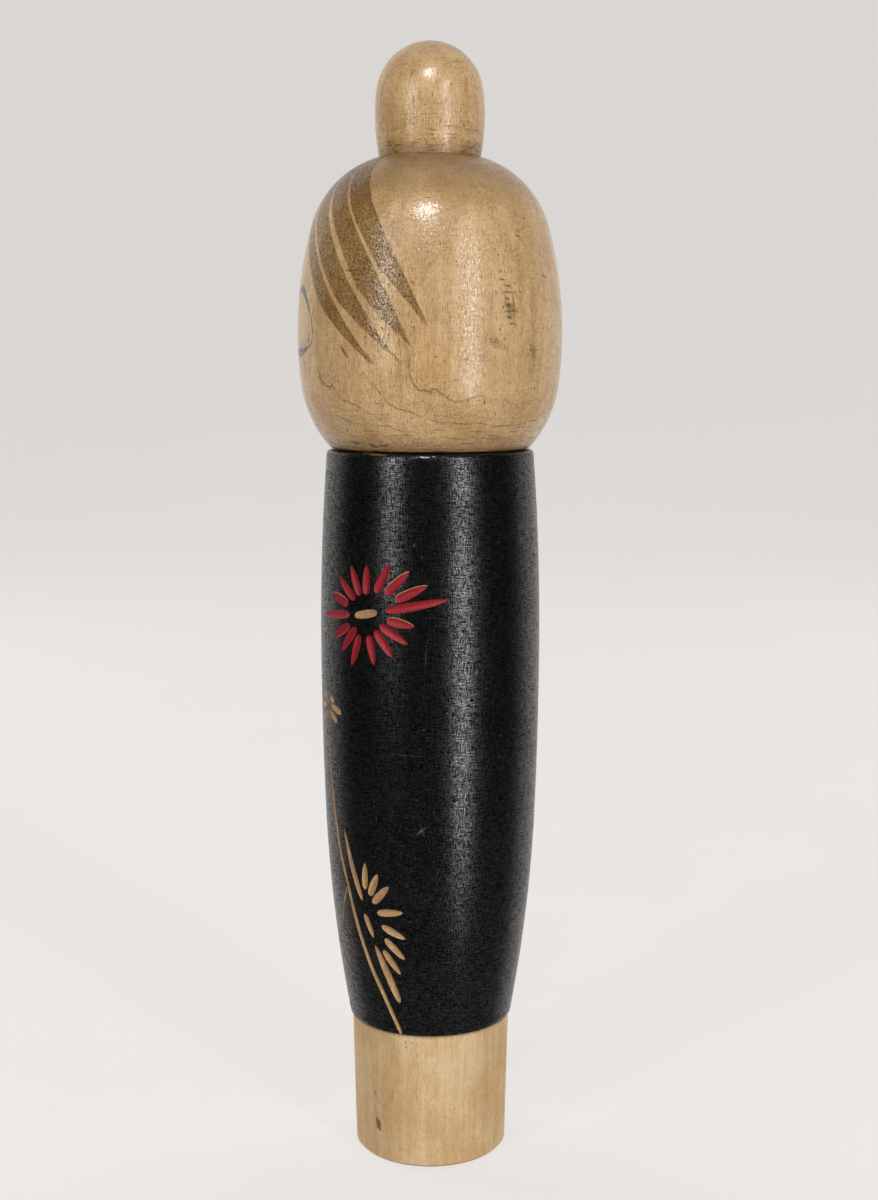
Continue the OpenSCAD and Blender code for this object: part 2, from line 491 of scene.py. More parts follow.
def crisp_cut_edges(piece, outline):
    """Keeps the turned surface smooth beside the cuts, and the rims of the cuts sharp."""
    mesh = piece.data
    facing_out = 0.9
    for polygon in mesh.polygons:
        polygon.use_smooth = True
    materials_at = {}
    for polygon in mesh.polygons:
        for key in polygon.edge_keys:
            materials_at.setdefault(key, set()).add(polygon.material_index)
    for edge in mesh.edges:
        if len(materials_at.get(tuple(sorted(edge.vertices)), ())) > 1:
            edge.use_edge_sharp = True
    normals = [Vector((0, 0, 0))] * len(mesh.loops)
    for polygon in mesh.polygons:
        expected = outline.normal(polygon.center)
        if polygon.material_index == 0 and polygon.normal.dot(expected) > facing_out:
            for index in polygon.loop_indices:
                place = mesh.vertices[mesh.loops[index].vertex_index].co
                normals[index] = outline.normal(place)
    mesh.normals_split_custom_set(normals)


# ---------------------------------------------------------------- brush strokes

# Strokes are (start across, start height, end across, end height, width, bend, start taper,
# end taper). All but the tapers are in mm: across is measured round the cheeks from the middle
# of the face, height from the floor, and bend is how far the stroke bows out at its middle. A
# taper is the share of the stroke over which that end narrows.
CHEEK_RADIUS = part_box("head")[1].x / MM


def brush_stroke():
    """A node group: how much of a brush stroke covers a place.

    Its Vector runs from 0 to 1 along the stroke in X, and in mm across it in Y."""
    tree = bpy.data.node_groups.new("brush_stroke", "ShaderNodeTree")
    for name in ("Vector", "Width", "Bend", "Start taper", "End taper", "Ragged"):
        kind = "NodeSocketVector" if name == "Vector" else "NodeSocketFloat"
        tree.interface.new_socket(name, in_out="INPUT", socket_type=kind)
    tree.interface.new_socket("Cover", in_out="OUTPUT", socket_type="NodeSocketFloat")
    given = add(tree, "NodeGroupInput").node.outputs
    split = add(tree, "ShaderNodeSeparateXYZ", {0: given["Vector"]}).node.outputs
    along = add(tree, "ShaderNodeClamp", {0: split[0]})
    rest = add(tree, MATH, {0: 1.0, 1: along}, operation="SUBTRACT")
    arch = add(tree, MATH, {0: along, 1: rest}, operation="MULTIPLY")
    full_arch = add(tree, MATH, {0: arch, 1: 4.0}, operation="MULTIPLY")
    bent = add(tree, MATH, {0: full_arch, 1: given["Bend"]}, operation="MULTIPLY")
    side = add(tree, MATH, {0: split[1], 1: bent}, operation="SUBTRACT")
    aside = add(tree, MATH, {0: side}, operation="ABSOLUTE")
    tapers = []
    for way, taper in ((along, given["Start taper"]), (rest, given["End taper"])):
        share = add(tree, MATH, {0: way, 1: taper}, operation="DIVIDE")
        held = add(tree, MATH, {0: share, 1: 1.0}, operation="MINIMUM")
        tapers.append(add(tree, MATH, {0: held, 1: 0.75}, operation="POWER"))
    shape = add(tree, MATH, {0: tapers[0], 1: tapers[1]}, operation="MULTIPLY")
    half = add(tree, MATH, {0: given["Width"], 1: 0.5}, operation="MULTIPLY")
    half_here = add(tree, MATH, {0: half, 1: shape}, operation="MULTIPLY")
    inside = add(tree, MATH, {0: half_here, 1: aside}, operation="SUBTRACT")
    ragged = add(tree, MATH, {0: inside, 1: given["Ragged"]}, operation="SUBTRACT")
    cover = add(tree, RANGE, {0: ragged, 1: 0.0, 2: 0.16}, **SOFT)
    add(tree, "NodeGroupOutput", {0: cover})
    return tree


BRUSH_STROKE = brush_stroke()


def surface_place(tree, split, mirrored=False):
    """A place on a turned piece: its turn from the face in degrees, and in mm (round the
    cheeks, height). mirrored makes the two sides of the face alike."""
    back = add(tree, MATH, {0: split[1], 1: -1.0}, operation="MULTIPLY")
    turn = add(tree, MATH, {0: split[0], 1: back}, operation="ARCTAN2")
    if mirrored:
        turn = add(tree, MATH, {0: turn}, operation="ABSOLUTE")
    degrees = add(tree, MATH, {0: turn}, operation="DEGREES")
    across = add(tree, MATH, {0: turn, 1: CHEEK_RADIUS}, operation="MULTIPLY")
    return degrees, add(tree, "ShaderNodeCombineXYZ", {0: across, 1: split[2]})


def painted(tree, flat, strokes, ragged):
    """The cover of several brush strokes together. ragged, in mm, is eaten off their edges."""
    total = None
    for x0, y0, x1, y1, width, bend, start, stop in strokes:
        local = add(tree, "ShaderNodeMapping",
                    {0: flat, "Location": (x0, y0, 0),
                     "Rotation": (0, 0, math.atan2(y1 - y0, x1 - x0)),
                     "Scale": (math.hypot(x1 - x0, y1 - y0), 1, 1)}, vector_type="TEXTURE")
        cover = add(tree, "ShaderNodeGroup",
                    {"Vector": local, "Width": width, "Bend": bend, "Start taper": start,
                     "End taper": stop, "Ragged": ragged}, node_tree=BRUSH_STROKE)
        total = cover if total is None else add(
            tree, MATH, {0: total, 1: cover}, operation="MAXIMUM")
    return total


# ---------------------------------------------------------------- wood

# Foot and body are turned from one log: where its pith lies from the doll's axis, and how wide
# its growth rings are, in mm.
LOG_PITH = (-34, 20)
LOG_RING = 2.4


def grain(tree, place, pith, ring_mm, tones, marked=1.0, lines=None):
    """Fine pale turned wood, such as dogwood: its colour and its relief.

    It has short dense fibres along the height, soft darker streaks and blotches, faint growth
    rings round a pith that lies off the axis, small dark pores and flecks, and the scratches
    of the lathe. tones are its pale, warm and dark colours, marked is how strong its dark marks
    are, and lines is how clearly its rings show, where that differs over the piece."""
    pale, warm, dark = tones
    wander = mottle(tree, place, (22, 22, 50))
    jitter = mottle(tree, place, (2.5, 2.5, 6), offset=5.5)
    level = add(tree, VECTOR, {0: place, 1: (1, 1, 0.06), 2: (-pith[0], -pith[1], 0)},
                operation="MULTIPLY_ADD")
    far = add(tree, VECTOR, {0: level}, "Value", operation="LENGTH")
    rings = add(tree, MATH, {0: far, 1: 1 / ring_mm}, operation="MULTIPLY")
    jittered = add(tree, MATH, {0: jitter, 1: 0.25, 2: rings}, operation="MULTIPLY_ADD")
    shifted = add(tree, MATH, {0: wander, 1: 2.4, 2: jittered}, operation="MULTIPLY_ADD")
    phase = add(tree, MATH, {0: shifted}, operation="FRACT")
    late_wood = add(tree, RANGE, {0: phase, 1: 0.90, 2: 1.0, 4: 0.5 * marked}, **SOFT)
    clear = mottle(tree, place, (11, 11, 9), offset=12.4)
    patches = add(tree, RANGE, {0: clear, 1: 0.40, 2: 0.60, 3: 0.2}, **SOFT)
    ring_line = add(tree, MATH, {0: late_wood, 1: patches}, operation="MULTIPLY")
    if lines is not None:
        ring_line = add(tree, MATH, {0: ring_line, 1: lines}, operation="MULTIPLY")
    flecks = mottle(tree, place, (0.3, 0.3, 1.3), detail=1, offset=1.3)
    fleck_mask = add(tree, RANGE, {0: flecks, 1: 0.56, 2: 0.72, 4: 0.5 * marked}, **SOFT)
    pores = mottle(tree, place, (0.75, 0.75, 0.9), detail=0, offset=11.2)
    pore_mask = add(tree, RANGE, {0: pores, 1: 0.79, 2: 0.85, 4: 0.75 * marked}, **SOFT)
    lathe = mottle(tree, place, (3.0, 3.0, 0.28), offset=8.8)
    scratches = add(tree, RANGE, {0: lathe, 1: 0.62, 2: 0.76, 4: 0.45 * marked}, **SOFT)
    streaks = mottle(tree, place, (2.2, 2.2, 45), detail=3, offset=3.1)
    blotches = mottle(tree, place, (13, 13, 17), detail=4, offset=7.7)
    warmth = add(tree, MATH, {0: streaks, 1: 0.6, 2: blotches}, operation="MULTIPLY_ADD")
    warmed = add(tree, RANGE, {0: warmth, 1: 0.6, 2: 1.0}, **SOFT)
    ground = add(tree, MIX, {0: warmed, 6: pale, 7: warm}, **COLOURS)
    fibres = mottle(tree, place, (0.34, 0.34, 3.2), detail=4)
    crossed = add(tree, MATH, {0: lathe, 1: 0.7, 2: fibres}, operation="MULTIPLY_ADD")
    shade = add(tree, RANGE, {0: crossed, 1: 0.55, 2: 1.15,
                              3: 1 - 0.24 * marked, 4: 1 + 0.12 * marked}, **SOFT)
    colour = add(tree, VECTOR, {0: ground, "Scale": shade}, operation="SCALE")
    for mask in (ring_line, scratches, fleck_mask, pore_mask):
        colour = add(tree, MIX, {0: mask, 6: colour, 7: dark}, **COLOURS)
    relief = add(tree, MATH, {0: fleck_mask, 1: -1.2, 2: fibres}, operation="MULTIPLY_ADD")
    return colour, relief


def beech_dowel():
    """Beech dowel rod: plain, straight and matt."""
    material, tree, shader, place = new_material("beech_dowel_rod")
    tones = linear("#dcbd92"), linear("#c9a071"), linear("#8d6742")
    colour, relief = grain(tree, place, (4, 3), 1.6, tones)
    roughness = add(tree, RANGE, {0: relief, 1: 0.3, 2: 0.7, 3: 0.72, 4: 0.6}, **SOFT)
    shader.inputs["IOR"].default_value = BARE_WOOD_IOR
    finish(tree, shader, colour, roughness, relief, 0.05)
    return material


def cut_dogwood():
    """Dogwood laid open by a sharp gouge: clean, a little glossy and warmer than outside."""
    material, tree, shader, place = new_material("gouge_cut_dogwood")
    tones = linear("#c8a273"), linear("#b0875a"), linear("#7d5530")
    colour, relief = grain(tree, place, LOG_PITH, LOG_RING, tones)
    roughness = add(tree, RANGE, {0: relief, 1: 0.3, 2: 0.7, 3: 0.58, 4: 0.44}, **SOFT)
    shader.inputs["IOR"].default_value = BARE_WOOD_IOR
    finish(tree, shader, colour, roughness, relief, 0.05)
    return material


def red_painted_cut():
    """Gouge cut brushed with red lacquer: even and deep, thinner where the fibres stand."""
    material, tree, shader, place = new_material("red_lacquer_in_cuts")
    fibres = mottle(tree, place, (0.4, 0.4, 4), detail=3)
    thin = add(tree, RANGE, {0: fibres, 1: 0.3, 2: 0.7}, **SOFT)
    colour = add(tree, MIX, {0: thin, 6: linear("#851620"), 7: linear("#a3222c")}, **COLOURS)
    roughness = add(tree, RANGE, {0: fibres, 1: 0.3, 2: 0.7, 3: 0.58, 4: 0.44}, **SOFT)
    shader.inputs["IOR"].default_value = VARNISH_IOR
    shader.inputs["Specular IOR Level"].default_value = 0.25
    finish(tree, shader, colour, roughness, fibres, 0.05)
    return material


# ---------------------------------------------------------------- the foot

FOOT_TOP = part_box("foot")[1].z / MM

# A knot and pin holes, as brush strokes
FOOT_KNOTS = [
    (34.2, 12.0, 37.4, 8.4, 3.6, 0.0, 0.5, 0.5),
    (50.6, 36.4, 51.4, 35.6, 0.8, 0.0, 0.5, 0.5),
    (53.0, 36.8, 53.8, 35.8, 0.8, 0.0, 0.5, 0.5),
    (51.2, 35.2, 51.8, 34.2, 0.8, 0.0, 0.5, 0.5),
    (53.4, 34.8, 54.0, 33.8, 0.7, 0.0, 0.5, 0.5),
    (54.6, 30.6, 55.2, 29.4, 0.7, 0.0, 0.5, 0.5),
    (25.0, 32.2, 25.8, 31.0, 0.9, 0.0, 0.5, 0.5),
    (33.6, 19.6, 35.0, 18.8, 1.1, 0.0, 0.5, 0.5),
    (-30.0, 22.0, -28.6, 20.4, 1.0, 0.0, 0.5, 0.5),
]


def bare_dogwood():
    """Bare turned dogwood, sanded and unvarnished: matt and dusty pale, with soft streaks, a
    knot and pin holes, and a brown line where the body's stain crept over its rim."""
    material, tree, shader, place = new_material("bare_turned_dogwood")
    split = add(tree, "ShaderNodeSeparateXYZ", {0: place}).node.outputs
    tones = linear("#e3c497"), linear("#d0a974"), linear("#7a5329")
    colour, relief = grain(tree, place, LOG_PITH, LOG_RING, tones, 0.5)
    tooth = mottle(tree, place, (0.4, 0.4, 0.6), detail=1, offset=3.3)
    ragged = add(tree, RANGE, {0: tooth, 1: 0.3, 2: 0.7, 3: 0.25, 4: -0.15}, **SOFT)
    knots = painted(tree, surface_place(tree, split)[1], FOOT_KNOTS, ragged)
    knotted = add(tree, MATH, {0: knots, 1: 0.75}, operation="MULTIPLY")
    creep = add(tree, MATH, {0: tooth, 1: 1.2, 2: split[2]}, operation="MULTIPLY_ADD")
    bled = add(tree, RANGE, {0: creep, 1: FOOT_TOP - 0.5, 2: FOOT_TOP + 0.5, 4: 0.7}, **SOFT)
    for mask, tone in ((knotted, "#5b3a1c"), (bled, "#6e4520")):
        colour = add(tree, MIX, {0: mask, 6: colour, 7: linear(tone)}, **COLOURS)
    roughness = add(tree, RANGE, {0: relief, 1: 0.3, 2: 0.7, 3: 0.7, 4: 0.56}, **SOFT)
    shader.inputs["IOR"].default_value = BARE_WOOD_IOR
    finish(tree, shader, colour, roughness, relief, 0.05)
    return material


# ---------------------------------------------------------------- the body

BODY_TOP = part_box("body")[1].z / MM

# Pale scuffs on the black, as brush strokes
BODY_SCUFFS = [
    (57.6, 96.2, 61.2, 98.6, 0.9, 0.3, 0.4, 0.6),
    (58.8, 99.4, 60.4, 95.6, 0.6, 0.0, 0.4, 0.5),
    (60.6, 140.0, 61.4, 149.0, 0.35, 0.2, 0.4, 0.5),
    (50.0, 118.0, 60.0, 117.6, 0.3, 0.0, 0.4, 0.6),
]


def black_stain():
    """Black stain and satin varnish on turned wood: lathe lines crossed by fibres, open pores
    and fine dust, so that every gloss breaks up into grains, and a rim worn to bare wood."""
    material, tree, shader, place = new_material("black_stained_dogwood_satin")
    split = add(tree, "ShaderNodeSeparateXYZ", {0: place}).node.outputs
    lathe = mottle(tree, place, (2.0, 2.0, 0.22))
    fibres = mottle(tree, place, (0.2, 0.2, 2.0), offset=2.2)
    tooth = mottle(tree, place, (0.22, 0.22, 0.22), detail=1, offset=5.1)
    woven = add(tree, MATH, {0: lathe, 1: fibres}, operation="ADD")
    grains = add(tree, MATH, {0: tooth, 1: 0.9, 2: woven}, operation="MULTIPLY_ADD")
    pale = add(tree, RANGE, {0: grains, 1: 1.50, 2: 1.80}, **SOFT)
    colour = add(tree, MIX, {0: pale, 6: linear("#050506"), 7: linear("#1d1d1d")}, **COLOURS)
    dust = mottle(tree, place, (0.6, 0.6, 0.6), detail=0, offset=4.4)
    dusty = add(tree, RANGE, {0: dust, 1: 0.81, 2: 0.85, 4: 0.3}, **SOFT)
    rim = add(tree, RANGE, {0: split[2], 1: BODY_TOP - 0.9, 2: BODY_TOP - 0.2}, **SOFT)
    wear = mottle(tree, place, (9, 9, 1.2), detail=4, offset=6.6)
    rubbed = add(tree, RANGE, {0: wear, 1: 0.58, 2: 0.68}, **SOFT)
    bared = add(tree, MATH, {0: rim, 1: rubbed}, operation="MULTIPLY")
    faint = add(tree, RANGE, {0: tooth, 1: 0.35, 2: 0.65, 3: 0.3, 4: -0.1}, **SOFT)
    scuffs = painted(tree, surface_place(tree, split)[1], BODY_SCUFFS, faint)
    scuffed = add(tree, MATH, {0: scuffs, 1: 0.32}, operation="MULTIPLY")
    for mask, tone in ((dusty, "#8d8a84"), (bared, "#8a6a48"), (scuffed, "#a39d94")):
        colour = add(tree, MIX, {0: mask, 6: colour, 7: linear(tone)}, **COLOURS)
    thin = mottle(tree, place, (24, 24, 14), detail=3, offset=9.3)
    patchy = add(tree, RANGE, {0: thin, 1: 0.3, 2: 0.7, 3: 0.75, 4: 1.05}, **SOFT)
    shining = add(tree, RANGE, {0: grains, 1: 1.2, 2: 1.8, 4: 1.05}, **SOFT)
    glossy = add(tree, MATH, {0: shining, 1: patchy}, operation="MULTIPLY")
    tree.links.new(glossy, shader.inputs["Specular IOR Level"])
    roughness = add(tree, RANGE, {0: grains, 1: 1.2, 2: 1.8, 3: 0.32, 4: 0.2}, **SOFT)
    shader.inputs["IOR"].default_value = VARNISH_IOR
    finish(tree, shader, colour, roughness, grains, 0.022)
    return material


# ---------------------------------------------------------------- head and topknot

# Each band of hair is one sweep of a wide brush, from the crown down to a dry pointed tip.
# Its rear edge is turn = start + lean * drop + curl * drop^2, in degrees from the middle of
# the face, where drop is the height in mm below the top of the hair. The band's breadth in
# degrees is breadth + spread * drop, and it narrows to its tip over its last stretch.
HAIR_TOP = 269
HAIR_BANDS = [
    # start, lean, curl, breadth, spread, tip, stretch
    (61.0, 1.20, -0.006, 16.5, -0.23, 43.0, 17.0),
    (43.3, 1.50, -0.009, 14.3, -0.04, 46.5, 15.0),
    (29.9, 1.17, 0.000, 17.0, -0.15, 50.0, 16.0),
    (11.5, 1.31, 0.000, 10.8, -0.02, 52.5, 17.0),
]

# One side of the face, as brush strokes that the other side mirrors: closed eyes under a lid
# fold, lashes, a nose and a mouth
LID_FOLD = [
    (5.0, 233.0, 18.6, 238.6, 2.5, 1.8, 0.9, 0.05),
    (15.4, 239.4, 24.8, 230.4, 2.6, 1.3, 0.05, 0.9),
    (24.2, 232.4, 25.8, 225.4, 0.7, 0.35, 0.3, 0.3),
    (25.8, 226.2, 23.8, 222.8, 0.6, 0.3, 0.3, 0.5),
]
LASH_LINE = [(5.0, 224.4, 25.0, 224.2, 2.5, -2.4, 0.4, 0.4)]
LASHES = [
    (15.4 + 1.5 * i, 222.7 + 0.2 * i, 18.2 + 1.15 * i, 226.6 + 0.3 * i, 0.6, -0.3, 0.1, 0.7)
    for i in range(6)
]
NOSE = [(-0.2, 219.2, 2.4, 218.4, 0.5, -0.6, 0.2, 0.6)]
MOUTH = [
    (-0.2, 209.6, 3.6, 210.5, 1.5, 0.3, 0.05, 0.6),
    (-0.2, 208.5, 2.8, 208.9, 1.3, -0.4, 0.05, 0.7),
]

# Fine cracks and nicks that handling left on one side: a ladder of short level ticks beside
# the ear, and single ones
HANDLING_MARKS = [
    (80.6 + 0.25 * i + 0.7 * (i % 2), 240.0 - 1.55 * i,
     83.0 + 0.35 * i + 1.2 * (i % 3), 239.8 - 1.6 * i, 0.75, 0.1, 0.3, 0.5) for i in range(8)
] + [
    (84.2, 238.6, 84.9, 228.0, 0.8, 0.4, 0.5, 0.6),
    (37.4, 242.4, 43.6, 242.1, 0.8, 0.0, 0.3, 0.6),
    (37.2, 224.0, 40.0, 220.2, 1.0, 0.0, 0.4, 0.3),
    (60.0, 260.2, 63.0, 260.0, 0.7, 0.0, 0.4, 0.4),
    (96.4, 241.6, 100.6, 241.0, 0.8, 0.0, 0.4, 0.4),
    (87.2, 251.2, 90.4, 250.8, 0.7, 0.0, 0.3, 0.4),
    (40.6, 198.6, 45.0, 197.6, 1.2, 0.0, 0.4, 0.4),
]

# Soft grey smudges on the varnish
SMUDGES = [
    (76.6, 225.4, 82.0, 223.0, 3.4, 0.2, 0.5, 0.5),
    (74.4, 221.4, 77.4, 219.6, 2.4, 0.0, 0.5, 0.5),
    (90.0, 225.0, 94.0, 219.0, 3.2, 0.0, 0.5, 0.5),
    (82.0, 236.0, 84.5, 229.0, 3.6, 0.0, 0.5, 0.5),
    (101.0, 252.0, 106.0, 267.0, 2.6, 0.6, 0.5, 0.5),
]


def hair_cover(tree, turn, height):
    """How much ink the hair's brush left at a place, from its turn and its height."""
    drop = add(tree, MATH, {0: HAIR_TOP, 1: height}, operation="SUBTRACT")
    total = None
    for start, lean, curl, breadth, spread, tip, stretch in HAIR_BANDS:
        steep = add(tree, MATH, {0: drop, 1: curl, 2: lean}, operation="MULTIPLY_ADD")
        edge = add(tree, MATH, {0: drop, 1: steep, 2: start}, operation="MULTIPLY_ADD")
        inside = add(tree, MATH, {0: edge, 1: turn}, operation="SUBTRACT")
        wide = add(tree, MATH, {0: drop, 1: spread, 2: breadth}, operation="MULTIPLY_ADD")
        left = add(tree, RANGE, {0: drop, 1: tip - stretch, 2: tip, 3: 1.0, 4: 0.0})
        narrowed = add(tree, MATH, {0: left, 1: 0.7}, operation="POWER")
        width = add(tree, MATH, {0: wide, 1: narrowed}, operation="MULTIPLY")
        past = add(tree, MATH, {0: width, 1: inside}, operation="SUBTRACT")
        bristles = add(tree, "ShaderNodeCombineXYZ", {0: inside, 1: start, 2: drop})
        streak = mottle(tree, bristles, (0.9, 1.0, 5.0), detail=3)
        dryness = add(tree, RANGE, {0: left, 1: 1.0, 2: 0.0, 3: 0.3, 4: 6.0}, **SOFT)
        ragged = add(tree, MATH, {0: streak, 1: 0.42}, operation="SUBTRACT")
        missed = add(tree, MATH, {0: ragged, 1: dryness}, operation="MULTIPLY")
        front = add(tree, MATH, {0: past, 1: missed}, operation="SUBTRACT")
        rear = add(tree, MATH, {0: inside, 1: missed}, operation="SUBTRACT")
        front_edge = add(tree, RANGE, {0: front, 1: 0.0, 2: 0.9}, **SOFT)
        rear_edge = add(tree, RANGE, {0: rear, 1: 0.0, 2: 0.6}, **SOFT)
        covered = add(tree, MATH, {0: front_edge, 1: rear_edge}, operation="MULTIPLY")
        total = covered if total is None else add(
            tree, MATH, {0: total, 1: covered}, operation="MAXIMUM")
    return total


def painted_head(tree, colour, split, tooth):
    """The wood's colour under thin brown-grey hair ink, blue-black lines, a red mouth and what
    handling left."""
    degrees, flat = surface_place(tree, split, mirrored=True)
    hair = hair_cover(tree, degrees, split[2])
    soaked = add(tree, RANGE, {0: tooth, 1: 0.30, 2: 0.62, 3: 0.70, 4: 1.0}, **SOFT)
    haired = add(tree, MATH, {0: hair, 1: soaked}, operation="MULTIPLY")
    pooled = add(tree, RANGE, {0: tooth, 1: 0.42, 2: 0.62}, **SOFT)
    ink = add(tree, MIX, {0: pooled, 6: linear("#c2b79c"), 7: linear("#8d8464")}, **COLOURS)
    inked = add(tree, MIX, {0: 1.0, 6: colour, 7: ink}, blend_type="MULTIPLY", **COLOURS)
    colour = add(tree, MIX, {0: haired, 6: colour, 7: inked}, **COLOURS)
    wet = add(tree, RANGE, {0: tooth, 4: 0.08}, **SOFT)
    lines = painted(tree, flat, LID_FOLD + LASH_LINE + LASHES + NOSE, wet)
    lined = add(tree, MATH, {0: lines, 1: 0.86}, operation="MULTIPLY")
    lips = painted(tree, flat, MOUTH, wet)
    around = surface_place(tree, split)[1]
    frayed = add(tree, RANGE, {0: tooth, 1: 0.35, 2: 0.62, 3: 0.16, 4: -0.05}, **SOFT)
    marks = painted(tree, around, HANDLING_MARKS, frayed)
    marked = add(tree, MATH, {0: marks, 1: 0.7}, operation="MULTIPLY")
    smeared = add(tree, RANGE, {0: tooth, 1: 0.35, 2: 0.62, 3: 1.9, 4: 0.0}, **SOFT)
    smudges = painted(tree, around, SMUDGES, smeared)
    smudged = add(tree, MATH, {0: smudges, 1: 0.6}, operation="MULTIPLY")
    for mask, tone in ((lined, "#2b3142"), (lips, "#a8282c"), (marked, "#44362a"),
                       (smudged, "#44362a")):
        colour = add(tree, MIX, {0: mask, 6: colour, 7: linear(tone)}, **COLOURS)
    return colour


def varnished_dogwood(name, node, decorated):
    """Old varnish over pale turned wood: honey coloured, satin, with grime along the joints.

    decorated adds the painted hair and face of the head, and a darker crown: partly grime,
    partly painted shade on its upward face."""
    material, tree, shader, place = new_material(name)
    split = add(tree, "ShaderNodeSeparateXYZ", {0: place}).node.outputs
    height = split[2]
    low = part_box(node)[0].z / MM
    lines = add(tree, RANGE, {0: height, 1: low + 16.0, 2: low + 30.0, 3: 1.2, 4: 0.3}, **SOFT)
    tones = linear("#dab584"), linear("#c39c68"), linear("#5f4326")
    colour, relief = grain(tree, place, (-6, -5), 2.1, tones, 1.2, lines)
    cloud = mottle(tree, place, (5, 5, 2.5), detail=4, offset=6.0)
    joint = add(tree, RANGE, {0: height, 1: low + 5.0, 2: low}, **SOFT)
    grime_and_shade = add(tree, MATH, {0: joint, 1: cloud}, operation="MULTIPLY")
    smears = mottle(tree, place, (4.5, 4.5, 0.45), detail=4, offset=4.9)
    dirt = add(tree, RANGE, {0: smears, 1: 0.52, 2: 0.68, 4: 0.8}, **SOFT)
    lower = add(tree, RANGE, {0: height, 1: low + 17.0, 2: low + 2.0}, **SOFT)
    grime_and_shade = add(tree, MATH, {0: lower, 1: dirt, 2: grime_and_shade}, operation="MULTIPLY_ADD")
    # On the head the crown is darkened too: partly grime, partly painted shade on its upward
    # face, which gets less light.
    if decorated:
        crown = add(tree, RANGE, {0: height, 1: 256.0, 2: 272.0, 4: 1.1}, **SOFT)
        grime_and_shade = add(tree, MATH, {0: crown, 1: cloud, 2: grime_and_shade}, operation="MULTIPLY_ADD")
    colour = add(tree, MIX, {0: grime_and_shade, 6: colour, 7: linear("#6b4b2a")}, **COLOURS)
    tooth = mottle(tree, place, (0.34, 0.34, 0.45), detail=1, offset=2.9)
    if decorated:
        colour = painted_head(tree, colour, split, tooth)
    glossy = add(tree, RANGE, {0: tooth, 1: 0.36, 2: 0.62, 3: 0.95, 4: 0.12}, **SOFT)
    tree.links.new(glossy, shader.inputs["Specular IOR Level"])
    peel = mottle(tree, place, (0.8, 0.8, 0.6), offset=1.7)
    uneven = add(tree, MATH, {0: peel, 1: 2.6, 2: relief}, operation="MULTIPLY_ADD")
    relief = add(tree, MATH, {0: tooth, 1: 1.1, 2: uneven}, operation="MULTIPLY_ADD")
    satin = add(tree, RANGE, {0: peel, 1: 0.3, 2: 0.7, 3: 0.25, 4: 0.16}, **SOFT)
    roughness = add(tree, MATH, {0: grime_and_shade, 1: 0.2, 2: satin}, operation="MULTIPLY_ADD")
    shader.inputs["IOR"].default_value = VARNISH_IOR
    finish(tree, shader, colour, roughness, relief, 0.028)
    return material


# ---------------------------------------------------------------- the carving's design

# Petals as (clock angle, start, end): the angle is 0 towards the doll's back and 90 up, and
# the lengths are mm from the flower's centre, which is a (turn in degrees, height in mm).
FLOWER_CENTRE = (66, 154.5)
FLOWER_PETALS = [
    (11, 6, 23), (25, 9.5, 19), (43, 8, 17), (62, 6.5, 15.5), (89, 5, 13), (113, 5, 13.5),
    (138, 5, 13.5), (162, 6.5, 14), (186, 5.5, 18.5), (211, 6.5, 14.5), (230, 5, 14),
    (251, 6, 15), (281, 5.5, 13.5), (306, 5, 13.5), (329, 5, 14), (349, 6.5, 14),
]
# Petals whose paint stopped short of the upper rim of the cut
THINLY_PAINTED = (25, 43, 162, 349)

# A second flower, on the front
FRONT_FLOWER_CENTRE = (-24, 122)
FRONT_FLOWER_PETALS = [(11 + 22.5 * i, 5.5 + i % 2, 13.5 + 1.5 * (i % 3)) for i in range(16)]

PETAL_WIDTH = 2.4
PETAL_DEPTH = 0.75
UNPAINTED_RIM_DEPTH = 0.3
LEAF_DEPTH = 0.6
STEM_DEPTH = 0.45

# Cuts as (route of (turn in degrees, height in mm), width in mm)
BUD_CUTS = [
    ([(36, 129.9), (40.5, 129.9)], 2.0), ([(36.5, 128.4), (47.5, 126.8)], 1.9),
    ([(35, 126.6), (43.5, 124)], 1.8), ([(31, 129.5), (26, 132)], 1.8),
    ([(30.5, 127.6), (20.5, 127.8)], 1.9), ([(31, 126), (23, 123)], 1.8),
]
LEAF_CUTS = [
    ([(62.5, 87), (61.5, 79.5)], 2.0), ([(70.5, 84.5), (64.5, 78)], 2.2),
    ([(77, 81.5), (66.5, 76)], 2.2), ([(85, 74.5), (69, 73.5)], 2.1),
    ([(86, 67), (71.5, 70)], 2.1), ([(85, 61), (73, 66.5)], 2.1),
    ([(82, 56.5), (71.5, 63)], 2.0), ([(65.5, 66), (60, 72.5)], 1.7),
    ([(47, 95), (53, 84.5), (59, 76)], 1.8), ([(66, 64), (72, 57.5), (80.5, 48)], 2.2),
]
FRONT_LEAF_CUTS = [
    ([(-30 - 3 * i, 88 - 6 * i), (-14 - 2 * i, 83 - 6.5 * i)], 2.1) for i in range(5)
] + [
    ([(14 - 2 * i, 92 - 6 * i), (-2 - 1.5 * i, 86 - 6.5 * i)], 2.0) for i in range(3)
]
STEM_CUTS = [
    ([(33, 120), (35, 107), (41, 90), (47, 80), (54, 67.5), (62, 57), (69, 50), (80, 38.6)], 1.3),
    ([(47, 79.5), (38, 70), (29, 62.5), (16, 55.5), (2, 50)], 0.85),
    ([(-20, 105), (-12, 92), (-8, 78), (-9, 62), (-16, 48), (-20, 40)], 1.0),
]


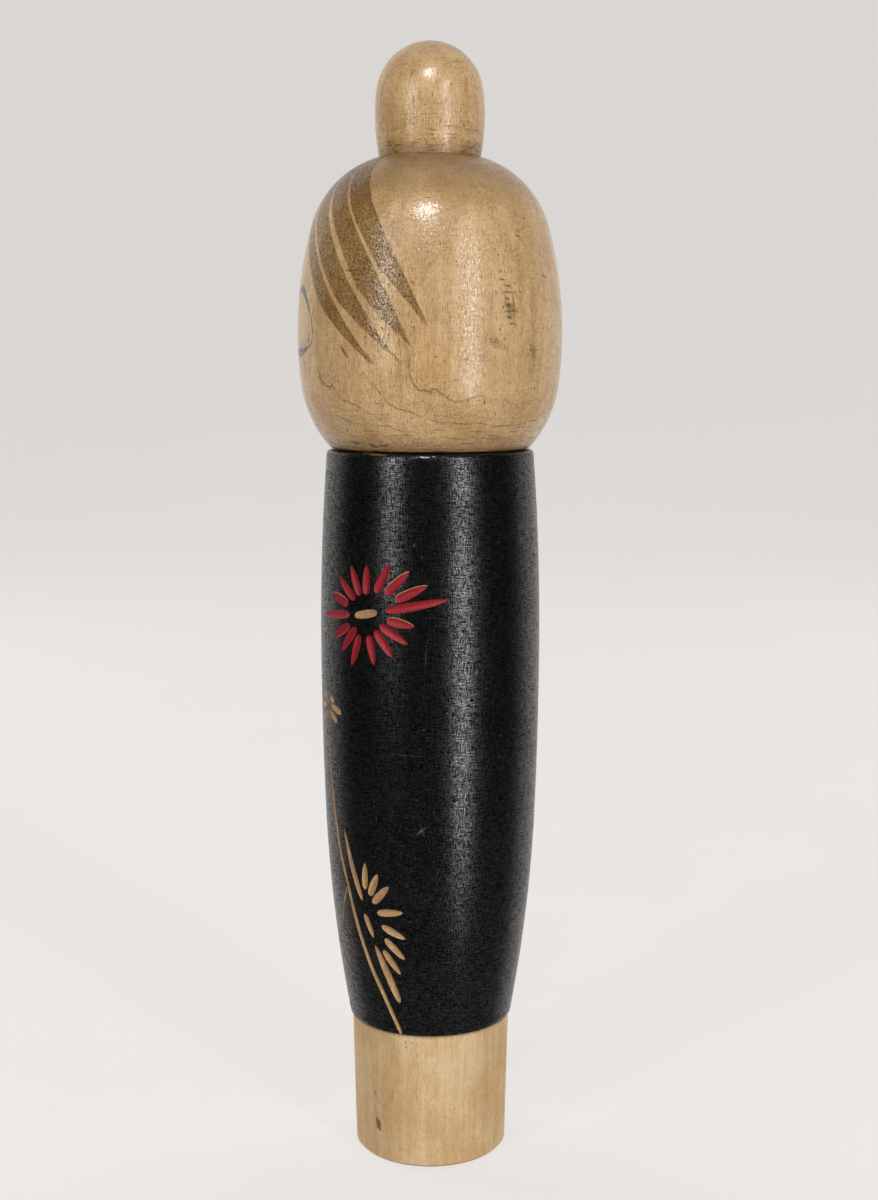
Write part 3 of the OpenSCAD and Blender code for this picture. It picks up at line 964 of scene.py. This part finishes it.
def flower(outline, centre, petals, thin, bare, red):
    """Adds one flower's cutters: its bare eye, its red petals and their unpainted rims."""
    azimuth, height = centre
    eye = [(azimuth - 7, height - 0.7), (azimuth + 7, height + 0.7)]
    bare.append(gouge(outline, eye, 2.2, LEAF_DEPTH, start=0.5, stop=0.5))
    for clock, inner, outer in petals:
        red.append(petal(outline, centre, clock, inner, outer, PETAL_WIDTH, PETAL_DEPTH))
        if clock in thin:
            raised = (azimuth, height + 0.15)
            bare.append(petal(outline, raised, clock, inner, outer, PETAL_WIDTH,
                              UNPAINTED_RIM_DEPTH))


def carve_body(body, outline):
    """The flowers, the bud, the leaves and the stems, cut through the black stain."""
    bare, red = [], []
    flower(outline, FLOWER_CENTRE, FLOWER_PETALS, THINLY_PAINTED, bare, red)
    flower(outline, FRONT_FLOWER_CENTRE, FRONT_FLOWER_PETALS, (), bare, red)
    for route, width in BUD_CUTS + LEAF_CUTS + FRONT_LEAF_CUTS:
        bare.append(gouge(outline, route, width, LEAF_DEPTH, start=0.85, stop=0.55))
    for route, width in STEM_CUTS:
        bare.append(gouge(outline, route, width, STEM_DEPTH, start=0.35, stop=0.12,
                          roundness=1.2))
    carve(body, bare, cut_dogwood())
    carve(body, red, red_painted_cut())
    crisp_cut_edges(body, outline)


# ---------------------------------------------------------------- pieces

foot, _ = turned("foot", 4 * MM, 160, top_bore="foot_dowel")
foot.data.materials.append(bare_dogwood())

body, body_outline = turned("body", 2 * MM, 192, foot_bore="foot_dowel", top_bore="neck_dowel")
body.data.materials.append(black_stain())
carve_body(body, body_outline)

head, _ = turned("head", 2 * MM, 192, foot_bore="neck_dowel", top_bore="topknot_dowel")
head.data.materials.append(varnished_dogwood("varnished_dogwood_head", "head", True))

topknot, _ = turned("topknot", 1.5 * MM, 144, foot_bore="topknot_dowel")
topknot.data.materials.append(
    varnished_dogwood("varnished_dogwood_topknot", "topknot", False))

for piece, node, body_name, slot in (
        (foot, "foot", "standing_body", "bare_wood"),
        (body, "body", "standing_body", "black_stained_wood"),
        (head, "head", "turning_head", "varnished_wood"),
        (topknot, "topknot", "turning_head", "varnished_wood")):
    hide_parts(node)
    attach(piece, body_name)

beech = beech_dowel()
for name in ("foot_dowel", "neck_dowel", "topknot_dowel"):
    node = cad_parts[name]
    node.data.materials.clear()
    node.data.materials.append(beech)
